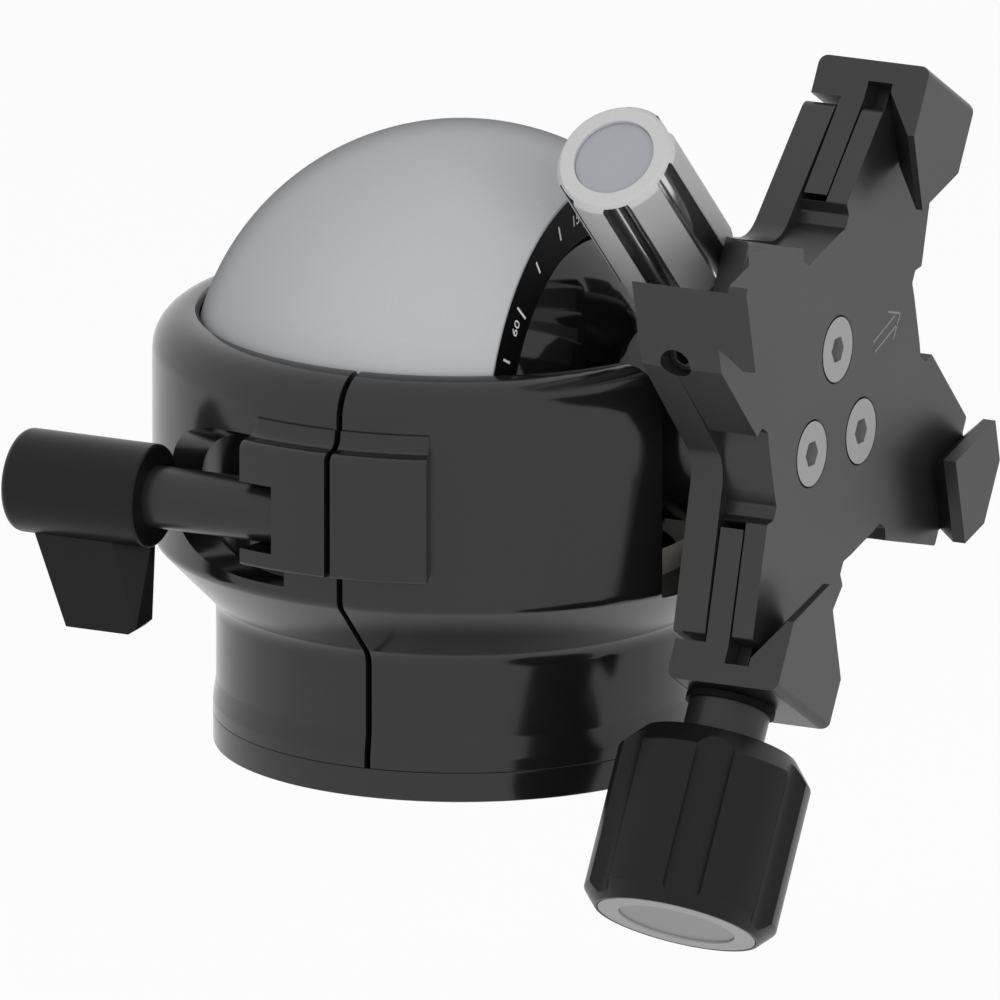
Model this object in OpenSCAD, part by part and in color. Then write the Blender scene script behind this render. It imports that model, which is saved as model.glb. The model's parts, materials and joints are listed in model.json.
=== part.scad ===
// Ball head with a notched split housing, a large hollow ball and a cross clamp.
// Frame: +Z up, origin at the centre of the base's underside, +X through the drop notch.
// The ball is laid over by a quarter turn, so its neck lies along +X.

/* [Base] */
// Radius of the round base plate
base_r = 31; // [30:0.5:32]
// Thickness of the base plate
base_h = 3.8; // [3.4:0.1:4.4]
// Height of the housing's foot flange above the base plate
foot_h = 2.5; // [2:0.1:3]
// Bore radius of the tripod socket
socket_r = 4.7625; // [4.7625]
// Radius of the circle of base screws
base_screw_pcd_r = 24.5; // [24:0.1:25]
// Shank radius of a base screw
base_screw_r = 1.5; // [1.2:0.1:1.7]
// Head radius of a base screw
base_head_r = 2.9; // [2.6:0.1:3.1]
// Length of a base screw
base_screw_l = 8; // [7:0.5:9]
// Number of base screws
base_screw_n = 4; // [3:1:6]

/* [Ball] */
// Radius of the large ball
ball_r = 33.84; // [33.6:0.01:34]
// Height of the ball's centre above the base
ball_z = 44.8; // [44.6:0.1:45]
// Distance of the ball's flat opening from its centre
mouth_x = 17.9; // [17.6:0.1:18.2]
// Gap between spherical faces that turn on each other
sphere_gap = 0.3; // [0.3:0.01:0.34]
// Radius of the inner ball
inner_r = 27.6; // [27.4:0.05:27.65]
// Outer radius of the ring that keeps the inner ball in
retainer_r = 28.1; // [28.05:0.05:28.2]
// Start of the retaining ring along the neck
retainer_x = 3; // [2.5:0.5:4]
// Thickness of the scale ring
scale_t = 1.8; // [1.6:0.1:2]
// Inner radius of the scale ring
scale_ri = 22; // [21.8:0.1:22.4]
// Outer radius of the scale ring
scale_ro = 28.3; // [28.2:0.05:28.4]
// Radius of the centring plunger
plunger_r = 3.6; // [3.2:0.1:3.8]
// Depth of the plunger's pocket in the ball wall
pocket_d = 5.2; // [5:0.1:5.4]

/* [Neck] */
// Radius of the inner ball's neck
neck_r = 11; // [10.6:0.1:11.2]
// Depth of the recess in the inner ball's back
recess_d = 1.6; // [1.4:0.1:2]
// Where the lock collar starts along the neck
collar_x = 27; // [26.8:0.1:27.2]
// Where the lock collar ends along the neck
collar_end_x = 39.5; // [39.3:0.1:39.6]
// Outer radius of the lock collar
collar_r = 12.6; // [12.4:0.1:12.8]
// Floor thickness of the lock collar
collar_floor = 2.6; // [2.4:0.1:2.8]
// Radius of the turning spigot under the clamp
spigot_r = 8.4; // [8.3:0.1:8.5]
// Width of the saw cut in the lock collar
collar_slit = 1; // [0.8:0.1:1.2]
// Distance of the lock screw from the neck's axis
lock_off = 12.8; // [12.6:0.1:13]
// Position of the lock screw along the neck
lock_x = 31.9; // [31.7:0.1:32]
// Lean of the lock screw from the vertical
lock_lean = 45.8; // [44:0.1:48]
// Shank radius of the lock screw
lock_screw_r = 2.5; // [2.3:0.1:2.6]
// Radius of the silver lock knob
lock_knob_r = 7.75; // [7.6:0.05:7.8]
// Start of the silver knob along its screw
lock_knob_s = 17.7; // [17.5:0.1:18]
// Length of the silver knob
lock_knob_l = 24.5; // [23.5:0.1:25.5]
// Radius of the disc in the silver knob's end
lock_disc_r = 5.2; // [5:0.1:5.4]
// Number of grooves round each knob
knob_grooves = 6; // [5:1:8]
// Turn of the silver knob's grooves
lock_groove_turn = 50.5; // [0:0.5:59.5]

/* [Housing] */
// Radius of the housing round the ball
top_r = 38.5; // [38.4:0.1:38.7]
// Radius of the housing's foot
foot_r = 30.6; // [30.4:0.1:30.8]
// Height at which the flare starts
flare_z = 18.4; // [18:0.1:19]
// Height at which the flare ends
flare_top_z = 27; // [26.6:0.1:27.4]
// Height of the rim
rim_z = 55.3; // [55:0.1:55.6]
// Radius of the rim's outer rounding
rim_round = 5.1; // [4.8:0.1:5.2]
// Radius of the rim's inner edge
rim_in_r = 33.2; // [33:0.05:33.3]
// Radius of the cavity under the ball
cavity_r = 27.6; // [27.2:0.1:27.8]
// Height of the shoulder for the seat ring
seat_z = 24; // [23.6:0.1:24.2]
// Height of the seat ring
seat_h = 5; // [4.6:0.1:5.1]
// Outer radius of the seat ring
seat_r = 30.2; // [30.1:0.05:30.3]
// Half width of the drop notch
notch_w = 14.9; // [14.7:0.1:15.2]
// Height of the notch's floor
notch_z = 25.5; // [25:0.1:26]
// Position of the saw cut along X
slit_x = 2.6; // [2.2:0.1:3]
// Width of the saw cut
slit_w = 0.8; // [0.6:0.1:1]
// Radius of the raised boss for the clamp screw
boss_r = 41.9; // [41.7:0.1:42.2]
// Angle at which the boss starts, from +X
boss_a0 = -104; // [-106:1:-102]
// Angle at which the boss ends, from +X
boss_a1 = -69; // [-71:1:-67]
// Height of the boss's underside
boss_z0 = 30.8; // [30.4:0.1:31.2]
// Height of the boss's top
boss_z1 = 46.7; // [46.3:0.1:47]

/* [Lever] */
// Distance of the clamp screw from the housing's axis
lever_y = 37.6; // [37.5:0.05:37.8]
// Height of the clamp screw
lever_z = 37.2; // [37:0.1:37.4]
// Radius of the lever's shaft
shaft_r = 3.9; // [3.7:0.1:4]
// Where the shaft ends inside the boss
shaft_end_x = -5.3; // [-5.6:0.1:-5.2]
// Radius of the clamp screw
clamp_screw_r = 2.5; // [2.3:0.1:2.6]
// Inner end of the lever's handle
handle_x1 = -23.4; // [-24:0.1:-23.2]
// Outer end of the lever's handle
handle_x0 = -42.1; // [-43:0.1:-41]
// Radius of the lever's handle
handle_r = 6.5; // [6.3:0.1:6.6]
// Thickness of the lever's fin
fin_t = 5; // [4.5:0.1:5.4]
// Radius of the relief round the lever's shaft
relief_r = 9.3; // [9:0.1:9.6]
// Radius at which the relief's floor lies
relief_floor_r = 35.7; // [35.6:0.1:36]

/* [Clamp] */
// Turn of the clamp about the neck, from the vertical
arm_turn = 31.4; // [30:0.1:33]
// Offset of the clamp's centre along the sliding arms
clamp_u = 5.9; // [5.6:0.1:6.2]
// Back face of the clamp along the neck
back_x = 40.3; // [40.1:0.1:40.5]
// Thickness of the back plate
back_t = 4.1; // [4:0.1:4.3]
// Back of the cover's thick middle
mid_x = 44.9; // [44.8:0.1:45]
// Back of the cover's thin arms
thin_x = 48.4; // [48.3:0.1:48.5]
// Front face of the cover
face_x = 51.3; // [51.2:0.1:51.5]
// Front face of the jaws
jaw_top_x = 56.1; // [55.9:0.1:56.3]
// Length of an arm from the plate's centre
arm_l = 34.3; // [34:0.1:34.5]
// Half width of an arm at its end
arm_end_w = 7.9; // [7.6:0.1:7.9]
// Half width of an arm at its root
arm_root_w = 12.4; // [12.2:0.1:12.6]
// Distance of an arm's root from the centre
arm_root_l = 21.8; // [21.4:0.1:22.2]
// Half width of the notch at the root
root_notch_w = 11.1; // [10.8:0.1:11.4]
// Distance of the middle's corner from the centre
corner_l = 17; // [16.6:0.1:17.4]
// Length of the cover's thick middle from its centre
mid_l = 21; // [20.8:0.1:21.2]
// Half the opening between opposite jaw lips
lip_w = 17.1; // [17:0.05:17.2]
// Half the width of the dovetail at the plate
dovetail_w = 19.1; // [19:0.05:19.2]
// Height of the lip's undercut
undercut_h = 2; // [1.9:0.05:2.1]
// Size of the bevel on the jaws' upper edges
bevel_s = 0.5; // [0.4:0.05:0.6]
// Half width of a sliding jaw
jaw_w = 7.6; // [7.4:0.1:7.7]
// Outer end of a sliding jaw from the jaws' centre
jaw_end = 41.1; // [40.9:0.1:41.3]
// Inner face of a sliding jaw's foot
jaw_foot = 35.6; // [35.5:0.1:35.8]
// Inner face of the jaw above the cover's arm
jaw_pocket = 38.2; // [37.9:0.1:38.4]
// Back of a jaw along the neck
jaw_back_x = 40.8; // [40.7:0.1:41]
// Front of the jaw's tongue
tongue_x1 = 48.1; // [48:0.1:48.15]
// Back of the jaw's tongue
tongue_x0 = 45.2; // [45.1:0.1:45.3]
// Inner end of a tongue from the jaws' centre
tongue_in = 23.6; // [23.2:0.1:24]
// Half width of a tongue's middle
tongue_mid_w = 3.9; // [3.7:0.1:4]
// Half thickness of a tongue's middle
tongue_mid_t = 2.9; // [2.8:0.1:3]
// Outer end of a fixed jaw from the plate's centre
fixed_end = 38.3; // [38:0.1:38.6]
// Half width of a fixed jaw
fixed_w = 8.5; // [8.4:0.1:8.7]
// Chamfer of a fixed jaw's outer corners
fixed_ch = 4.5; // [4.4:0.1:4.6]
// Radius of the circle of cover screws
cover_pcd_r = 7.9; // [7.7:0.1:8]
// Offset of the cover screws along the sliding arms
cover_screw_u = 3.4; // [3.2:0.1:3.6]
// Head radius of a cover screw
cover_head_r = 4.1; // [4:0.1:4.2]
// Shank radius of a cover screw
cover_screw_r = 1.7; // [1.6:0.05:1.75]
// Key width of a cover screw's socket
cover_key = 3; // [2.5:0.1:3]

/* [Clamp screw] */
// Position of the lead screw along the neck
lead_x = 46.8; // [46.7:0.05:46.9]
// Radius of the lead screw
lead_r = 1.4; // [1.3:0.05:1.4]
// Radius of the lead screw in the lower jaw
root_r = 2; // [1.9:0.05:2]
// Radius of the knob's stem
stem_r = 5.15; // [5:0.05:5.3]
// Radius of the black knob
knob_r = 12.25; // [12:0.05:12.4]
// Distance of the knob's shoulder from the neck's axis
knob_u0 = 41; // [40.8:0.1:41.4]
// Distance of the knob's end from the neck's axis
knob_u1 = 64.3; // [63.8:0.1:64.8]
// Height of the knob's front chamfer
knob_ch = 2; // [1.8:0.1:2.2]
// Turn of the knob's grooves
knob_turn = 49; // [0:1:59]
// Radius of the ring in the knob's end
knob_ring_r = 10.1; // [9.8:0.05:10.2]
// Radius of the disc in the knob's end
knob_disc_r = 7.35; // [7:0.05:7.6]

/* [Fits] */
// Radial running fit of a turning pin
run_fit = 0.06; // [0.04:0.01:0.09]
// Gap beside a sliding face
slide_gap = 0.2; // [0.15:0.01:0.25]
// Overrun of every cut
over = 1; // [0.5:0.1:2]

/* [Hidden] */
fine = 96;
tiny = 48;
quarter = 90;
half_turn = 180;
full_turn = 360;
eighth = 45;
hex_sides = 6;
mid_share = 0.5;
inner_sphere_r = inner_r + sphere_gap;
cavity_sphere_r = ball_r + sphere_gap;
scale_x = mouth_x - scale_t;
flange_z = base_h + foot_h;
house_h = rim_z - base_h;
collar_bore_r = spigot_r + run_fit;
collar_bore_x = collar_x + collar_floor;
spigot_x = collar_bore_x + slide_gap;
plate_mid_x = back_x + back_t;
jaw_lift = face_x + slide_gap;
far_r = top_r * 2;
big = rim_z * 2;
base_head_h = base_head_r - base_screw_r;
cover_head_h = cover_head_r - cover_screw_r;
cover_screw_l = face_x - back_x - over;
stem_start = jaw_end - clamp_u;
lead_way_r = lead_r + sphere_gap;
block_tip = dovetail_w * sqrt(2);
block_side = (fixed_end - fixed_ch + fixed_w - block_tip) / 2;
lip_tip = lip_w * sqrt(2) - over;
slot_half = shaft_r + slide_gap * 2;
slot_y = lever_y - shaft_r - slide_gap;
groove_r = lock_knob_r / 3;
groove_off = lock_knob_r + groove_r * 0.6;
knob_groove_r = knob_r * 0.3;
knob_groove_off = knob_r + knob_groove_r * 0.7;
boss_span = boss_a1 - boss_a0;
screw_end_x = slit_x + 6;
washer_t = 0.9;
lug_w = 8.6;
lug_back = 3.7;
lug_r = lock_screw_r + 1.5;
boss_len = lock_knob_s - lug_w;
set_r = 1.6;
set_x = 45.6;
set_off = 1.75;
set_d = 5;
relief_start_x = boss_r * cos(boss_a0) - 4;
round_r = 1.2;

// Turns a profile drawn in (radius, length) round an axis along +X from x0
module along_x(x0) {
  translate([x0, 0, 0])
    rotate([0, quarter, 0])
      children();
}

// Extrudes an outline drawn in (Y, Z) along +X
module plate_x(x0, t) {
  translate([x0, 0, 0])
    rotate([quarter, 0, quarter])
      linear_extrude(height = t)
        children();
}

// Places children in the ball's frame
module ball_frame() {
  translate([0, 0, ball_z])
    children();
}

// Places children in the clamp's frame: Z along the sliding arms, Y along the fixed arms
module clamp_frame() {
  translate([0, 0, ball_z])
    rotate([-arm_turn, 0, 0])
      children();
}

// Places children on the lock screw: Z along the screw, Y away from the neck
module lock_frame() {
  translate([lock_x, 0, ball_z])
    rotate([lock_lean, 0, 0])
      translate([0, lock_off, 0])
        children();
}

// One countersunk screw with a hexagon socket, head up at the origin
module flat_screw(head_r, shank_r, head_h, len, key) {
  difference() {
    union() {
      translate([0, 0, -head_h])
        cylinder(h = head_h, r1 = shank_r, r2 = head_r, $fn = tiny);
      translate([0, 0, -len])
        cylinder(h = len - head_h, r = shank_r, $fn = tiny);
    }
    translate([0, 0, -head_h])
      cylinder(h = head_h + over, r = key / sqrt(3), $fn = hex_sides);
  }
}

module base_plate() {
  color([0.16, 0.16, 0.17])
  difference() {
    cylinder(h = base_h, r = base_r, $fn = fine);
    translate([0, 0, -over])
      cylinder(h = base_h + over * 2, r = socket_r, $fn = fine);
    for (i = [0 : base_screw_n - 1])
      rotate([0, 0, eighth + full_turn * i / base_screw_n])
        translate([base_screw_pcd_r, 0, 0])
          rotate([half_turn, 0, 0]) {
            translate([0, 0, -base_head_h])
              cylinder(h = base_head_h, r1 = base_screw_r, r2 = base_head_r, $fn = tiny);
            translate([0, 0, -base_h - over])
              cylinder(h = base_h + over * 2, r = base_screw_r, $fn = tiny);
          }
  }
}

module base_screws() {
  color([0.6, 0.6, 0.62])
  for (i = [0 : base_screw_n - 1])
    rotate([0, 0, eighth + full_turn * i / base_screw_n])
      translate([base_screw_pcd_r, 0, 0])
        rotate([half_turn, 0, 0])
          flat_screw(base_head_r, base_screw_r, base_head_h, base_screw_l, base_head_r);
}

// Half section of the housing, radius across and height up
module housing_section() {
  difference() {
    union() {
      polygon([
        [cavity_r - over * 4, base_h],
        [base_r, base_h],
        [base_r, flange_z],
        [foot_r, flange_z + foot_h / 6],
        [foot_r, flare_z - over * 2],
        [foot_r + over / 4, flare_z - over],
        [foot_r + over, flare_z + over / 2],
        [top_r - over, flare_top_z - over * 1.6],
        [top_r - over / 4, flare_top_z - over / 2],
        [top_r, flare_top_z + over / 2],
        [top_r, rim_z - rim_round],
        [top_r - rim_round, rim_z - rim_round],
        [top_r - rim_round, rim_z],
        [foot_r, rim_z],
        [cavity_r - over * 4, flare_top_z]
      ]);
      translate([top_r - rim_round, rim_z - rim_round])
        circle(r = rim_round, $fn = fine);
    }
    translate([0, ball_z])
      circle(r = cavity_sphere_r, $fn = fine);
    polygon([
      [rim_in_r - over * 2, rim_z - over * 2],
      [rim_in_r + over, rim_z + over],
      [rim_in_r - over * 2, rim_z + over]
    ]);
    translate([0, flange_z])
      square([cavity_r, seat_z - flange_z]);
    translate([0, seat_z - tiny_step()])
      square([seat_r, seat_h + tiny_step()]);
    translate([0, base_h])
      square([base_screw_pcd_r - base_head_r - over, foot_h + over]);
  }
}

function tiny_step() = over / 100;

// Wedge that spans the boss between its two end angles
module boss_wedge(r) {
  polygon([
    [0, 0],
    [r * cos(boss_a0), r * sin(boss_a0)],
    [r * cos(boss_a0 + boss_span * mid_share), r * sin(boss_a0 + boss_span * mid_share)],
    [r * cos(boss_a1), r * sin(boss_a1)]
  ]);
}

module housing() {
  color([0.13, 0.13, 0.14])
  difference() {
    union() {
      difference() {
        rotate_extrude($fn = fine)
          housing_section();
        difference() {
          translate([handle_x0, -lever_y, lever_z])
            rotate([0, quarter, 0])
              cylinder(h = shaft_end_x - handle_x0, r = relief_r, $fn = tiny);
          translate([0, 0, flange_z])
            cylinder(h = house_h, r = relief_floor_r, $fn = fine);
        }
      }
      translate([0, 0, boss_z0])
        intersection() {
          difference() {
            cylinder(h = boss_z1 - boss_z0, r = boss_r, $fn = fine);
            translate([0, 0, ball_z - boss_z0])
              sphere(r = cavity_sphere_r, $fn = fine);
          }
          linear_extrude(height = boss_z1 - boss_z0)
            boss_wedge(far_r);
        }
    }
    translate([0, -notch_w, notch_z])
      cube([far_r, notch_w * 2, big]);
    translate([slit_x - slit_w / 2, -far_r, base_h - over])
      cube([slit_w, far_r - foot_r * mid_share, big]);
    translate([shaft_end_x - far_r, -far_r, lever_z - slot_half])
      intersection() {
        cube([far_r + slide_gap, far_r - slot_y, slot_half * 2]);
        translate([far_r + relief_start_x - shaft_end_x, 0, 0])
          cube([far_r, far_r, slot_half * 2]);
      }
    translate([shaft_end_x - over, -lever_y, lever_z])
      rotate([0, quarter, 0])
        cylinder(h = screw_end_x - shaft_end_x + over * 1.8, r = clamp_screw_r + run_fit, $fn = tiny);
    for (i = [0 : base_screw_n - 1])
      rotate([0, 0, eighth + full_turn * i / base_screw_n])
        translate([base_screw_pcd_r, 0, base_h - over])
          cylinder(h = base_screw_l - base_h + over, r = base_screw_r, $fn = tiny);
  }
}

module seat_ring() {
  color([0.85, 0.85, 0.8])
  rotate_extrude($fn = fine)
    difference() {
      translate([0, seat_z])
        square([seat_r, seat_h]);
      translate([0, ball_z])
        circle(r = cavity_sphere_r, $fn = fine);
      translate([-over, seat_z - over])
        square([cavity_r - foot_h + over, seat_h]);
    }
}

module lever_handle() {
  handle_l = handle_x1 - handle_x0;
  end_round = handle_r / 5;
  fin_in = handle_x1 - over;
  fin_out = handle_x0 + over * 2;
  fin_top = lever_z - handle_r * mid_share;
  fin_low = lever_z - handle_r * 2.7;
  fin_lean = handle_l / 4;
  color([0.09, 0.09, 0.1])
  difference() {
    union() {
      translate([handle_x0, -lever_y, lever_z])
        rotate([0, quarter, 0])
          rotate_extrude($fn = fine)
            difference() {
              union() {
                square([handle_r - end_round, handle_l]);
                translate([0, end_round])
                  square([handle_r, handle_l - end_round * 1.5]);
                translate([handle_r - end_round, end_round])
                  circle(r = end_round, $fn = tiny);
                translate([handle_r - end_round / 2, handle_l - end_round / 2])
                  circle(r = end_round / 2, $fn = tiny);
                translate([0, handle_l - end_round])
                  square([handle_r - end_round / 2, end_round]);
              }
              translate([-far_r, -over])
                square([far_r, handle_l + over * 2]);
            }
      intersection() {
        translate([0, -lever_y + fin_t * mid_share, 0])
          rotate([quarter, 0, 0])
            linear_extrude(height = fin_t)
              polygon([
                [fin_out, fin_top],
                [fin_out, fin_top - handle_r * mid_share],
                [fin_out + fin_lean, fin_low],
                [fin_in - over, fin_low],
                [fin_in + over, fin_low + over * 2],
                [fin_in + over * 2.2, fin_low + over * 4.6],
                [fin_in + over / 4, fin_top - handle_r * mid_share],
                [fin_in - over, fin_top]
              ]);
        linear_extrude(height = big)
          polygon([
            [fin_out - over, -lever_y - fin_t],
            [fin_in - over * 2.4, -lever_y - fin_t],
            [fin_in + over * 3, -lever_y],
            [fin_in + over * 3, -lever_y + fin_t],
            [fin_out - over, -lever_y + fin_t]
          ]);
      }
    }
    translate([handle_x1 - handle_r, -lever_y, lever_z])
      rotate([0, quarter, 0])
        cylinder(h = handle_r + over, r = clamp_screw_r, $fn = tiny);
  }
}

module lever_screw() {
  color([0.12, 0.12, 0.13])
  translate([0, -lever_y, lever_z]) {
    translate([handle_x1, 0, 0])
      rotate([0, quarter, 0])
        cylinder(h = shaft_end_x - handle_x1, r = shaft_r, $fn = fine);
    translate([handle_x1 - handle_r, 0, 0])
      rotate([0, quarter, 0])
        cylinder(h = screw_end_x - handle_x1 + handle_r, r = clamp_screw_r, $fn = tiny);
  }
}

module outer_ball() {
  color([0.7, 0.71, 0.73])
  ball_frame()
    difference() {
      sphere(r = ball_r, $fn = fine);
      sphere(r = inner_sphere_r, $fn = fine);
      along_x(mouth_x)
        cylinder(h = far_r, r = far_r, $fn = fine);
      along_x(retainer_x)
        cylinder(h = far_r, r = retainer_r, $fn = fine);
      along_x(scale_x)
        cylinder(h = far_r, r = scale_ro, $fn = fine);
      along_x(-inner_sphere_r - pocket_d)
        cylinder(h = inner_sphere_r + pocket_d, r = plunger_r + over, $fn = tiny);
    }
}

module ball_retainer() {
  color([0.3, 0.3, 0.32])
  ball_frame()
    difference() {
      along_x(retainer_x)
        cylinder(h = scale_x - retainer_x, r = retainer_r, $fn = fine);
      sphere(r = inner_sphere_r, $fn = fine);
    }
}

module scale_ring() {
  color([0.08, 0.08, 0.08])
  ball_frame()
    difference() {
      along_x(scale_x)
        cylinder(h = scale_t, r = scale_ro, $fn = fine);
      along_x(scale_x - over)
        cylinder(h = scale_t + over * 2, r = scale_ri, $fn = fine);
      sphere(r = inner_sphere_r, $fn = fine);
    }
}

module centring_plunger() {
  tip = plunger_r * mid_share;
  color([0.75, 0.7, 0.5])
  ball_frame()
    along_x(-inner_sphere_r - pocket_d * mid_share) {
      cylinder(h = tip, r = plunger_r, $fn = tiny);
      cylinder(h = pocket_d * mid_share + recess_d, r = tip, $fn = tiny);
    }
}

// Plain washers stand for the turns of the centring spring
module centring_spring() {
  turns = 4;
  pitch = pocket_d * mid_share / turns;
  color([0.6, 0.6, 0.62])
  ball_frame()
    along_x(-inner_sphere_r - pocket_d)
      for (i = [0 : turns - 1])
        translate([0, 0, pitch * (i + mid_share)])
          rotate_extrude($fn = tiny)
            translate([plunger_r - pitch, 0])
              circle(r = pitch * mid_share, $fn = 24);
}

module inner_ball() {
  color([0.07, 0.07, 0.08])
  ball_frame()
    difference() {
      union() {
        sphere(r = inner_r, $fn = fine);
        along_x(0)
          cylinder(h = collar_bore_x, r = neck_r, $fn = fine);
      }
      along_x(-inner_r - over)
        cylinder(h = recess_d + over, r = plunger_r + over, $fn = tiny);
    }
}

module lock_collar() {
  color([0.1, 0.1, 0.11])
  difference() {
    union() {
      ball_frame()
        along_x(collar_x)
          cylinder(h = collar_end_x - collar_x, r = collar_r, $fn = fine);
      lock_frame() {
        translate([-lug_r, -lock_off * mid_share, -lug_back])
          cube([lug_r * 2, lock_off * mid_share, lug_w + lug_back]);
        translate([0, 0, -lug_back])
          cylinder(h = lug_w + lug_back, r = lug_r, $fn = fine);
      }
    }
    ball_frame()
      along_x(collar_bore_x)
        cylinder(h = far_r, r = collar_bore_r, $fn = fine);
    ball_frame()
      along_x(collar_x - over)
        cylinder(h = collar_floor + over * 2, r = neck_r, $fn = fine);
    lock_frame() {
      translate([0, 0, -lug_w - over])
        cylinder(h = lug_w * 2 + over * 2, r = lock_screw_r + run_fit, $fn = tiny);
      translate([0, 0, lug_w])
        cylinder(h = far_r, r = lock_disc_r + sphere_gap, $fn = fine);
      translate([collar_bore_x - lock_x, -lock_off, -collar_slit * mid_share])
        cube([far_r, far_r, collar_slit]);
    }
  }
}

module lock_knob() {
  color([0.72, 0.72, 0.74])
  lock_frame()
    translate([0, 0, lock_knob_s])
      difference() {
        union() {
          cylinder(h = over, r1 = lock_knob_r - over, r2 = lock_knob_r, $fn = fine);
          translate([0, 0, over])
            cylinder(h = lock_knob_l - over * 2, r = lock_knob_r, $fn = fine);
          translate([0, 0, lock_knob_l - over])
            cylinder(h = over, r1 = lock_knob_r, r2 = lock_knob_r - over * mid_share, $fn = fine);
        }
        for (i = [0 : knob_grooves - 1])
          rotate([0, 0, lock_groove_turn + full_turn * i / knob_grooves])
            translate([groove_off, 0, -over])
              cylinder(h = lock_knob_l - over, r = groove_r, $fn = tiny);
        translate([0, 0, lock_knob_l - over])
          cylinder(h = over * 2, r = lock_disc_r, $fn = fine);
        translate([0, 0, -over])
          cylinder(h = lock_knob_l * mid_share, r = lock_screw_r, $fn = tiny);
      }
}

module lock_screw() {
  color([0.55, 0.55, 0.57])
  lock_frame() {
    translate([0, 0, -lug_back])
      cylinder(h = lug_back + lock_knob_s + lock_knob_l * mid_share - over, r = lock_screw_r, $fn = tiny);
    translate([0, 0, lug_w + slide_gap])
      cylinder(h = boss_len - slide_gap, r = lock_disc_r, $fn = fine);
  }
}

module lock_disc() {
  color([0.55, 0.55, 0.57])
  lock_frame()
    translate([0, 0, lock_knob_s + lock_knob_l - over])
      cylinder(h = over * mid_share, r = lock_disc_r - run_fit, $fn = fine);
}

// Cross outline of the clamp, (Y, Z) from the plate's centre
module cross_outline() {
  root_d = (arm_root_w - root_notch_w);
  for (a = [0, half_turn])
    rotate(a)
      polygon([
        [-arm_end_w, arm_l],
        [arm_end_w, arm_l],
        [arm_root_w, arm_root_l],
        [root_notch_w, arm_root_l - root_d],
        [root_notch_w, arm_root_l - root_d * 2],
        [root_notch_w + root_d, corner_l],
        [corner_l, root_notch_w + root_d],
        [arm_root_l - root_d * 2, root_notch_w],
        [arm_root_l - root_d, root_notch_w],
        [arm_root_l, arm_root_w],
        [arm_l, arm_end_w],
        [arm_l, 0],
        [-arm_l, 0],
        [-arm_l, arm_end_w],
        [-arm_root_l, arm_root_w],
        [-arm_root_l + root_d, root_notch_w],
        [-arm_root_l + root_d * 2, root_notch_w],
        [-corner_l, root_notch_w + root_d],
        [-root_notch_w - root_d, corner_l],
        [-root_notch_w, arm_root_l - root_d * 2],
        [-root_notch_w, arm_root_l - root_d],
        [-arm_root_w, arm_root_l]
      ]);
}

// Outline of one fixed jaw up to the plate's face
module block_outline() {
  polygon([
    [block_tip, 0],
    [block_tip + block_side, block_side],
    [fixed_end, fixed_w - fixed_ch],
    [fixed_end, -fixed_w + fixed_ch],
    [block_tip + block_side, -block_side]
  ]);
}

// Outline of one fixed jaw's lip above the plate's face, before the channels are cut
module lip_outline() {
  polygon([
    [lip_tip, 0],
    [lip_tip + fixed_w, fixed_w],
    [fixed_end - fixed_ch, fixed_w],
    [fixed_end, fixed_w - fixed_ch],
    [fixed_end, -fixed_w + fixed_ch],
    [fixed_end - fixed_ch, -fixed_w],
    [lip_tip + fixed_w, -fixed_w]
  ]);
}

// The two crossing dovetail channels above the cover
module channels() {
  for (s = [-1, 1])
    translate([0, 0, clamp_u])
      rotate([s * eighth, 0, 0])
        translate([0, 0, -far_r])
          linear_extrude(height = far_r * 2)
            polygon([
              [face_x - over, -dovetail_w],
              [face_x, -dovetail_w],
              [face_x + undercut_h, -lip_w],
              [jaw_top_x - bevel_s, -lip_w],
              [jaw_top_x + over, -lip_w - bevel_s - over],
              [jaw_top_x + over, lip_w + bevel_s + over],
              [jaw_top_x - bevel_s, lip_w],
              [face_x + undercut_h, lip_w],
              [face_x, dovetail_w],
              [face_x - over, dovetail_w]
            ]);
}

// Places children on each cover screw, Z out of the plate's face
module cover_holes() {
  for (i = [0 : 2])
    translate([face_x, 0, cover_screw_u])
      rotate([full_turn * i / 3, 0, 0])
        translate([0, cover_pcd_r, 0])
          rotate([0, quarter, 0])
            children();
}

// Places children on the upper arm, then on the lower arm, from the clamp's centre
module both_arms() {
  translate([0, 0, clamp_u])
    children();
  translate([0, 0, clamp_u])
    mirror([0, 0, 1])
      children();
}

// The lead screw's bore and the grooves for the tongues' middles
module lead_way() {
  translate([lead_x, 0, -far_r])
    cylinder(h = far_r * 2, r = lead_way_r, $fn = tiny);
  both_arms()
    translate([lead_x - tongue_mid_t - slide_gap, -tongue_mid_w - slide_gap, mid_l - over * mid_share])
      cube([(tongue_mid_t + slide_gap) * 2, (tongue_mid_w + slide_gap) * 2, far_r]);
}

// Places children on the set screw in the left fixed jaw's chamfer, Z outwards
module set_way() {
  translate([set_x, -fixed_end + fixed_ch, clamp_u - fixed_w])
    rotate([eighth, 0, 0])
      translate([0, 0, set_off])
        rotate([quarter, 0, 0])
          children();
}

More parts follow.
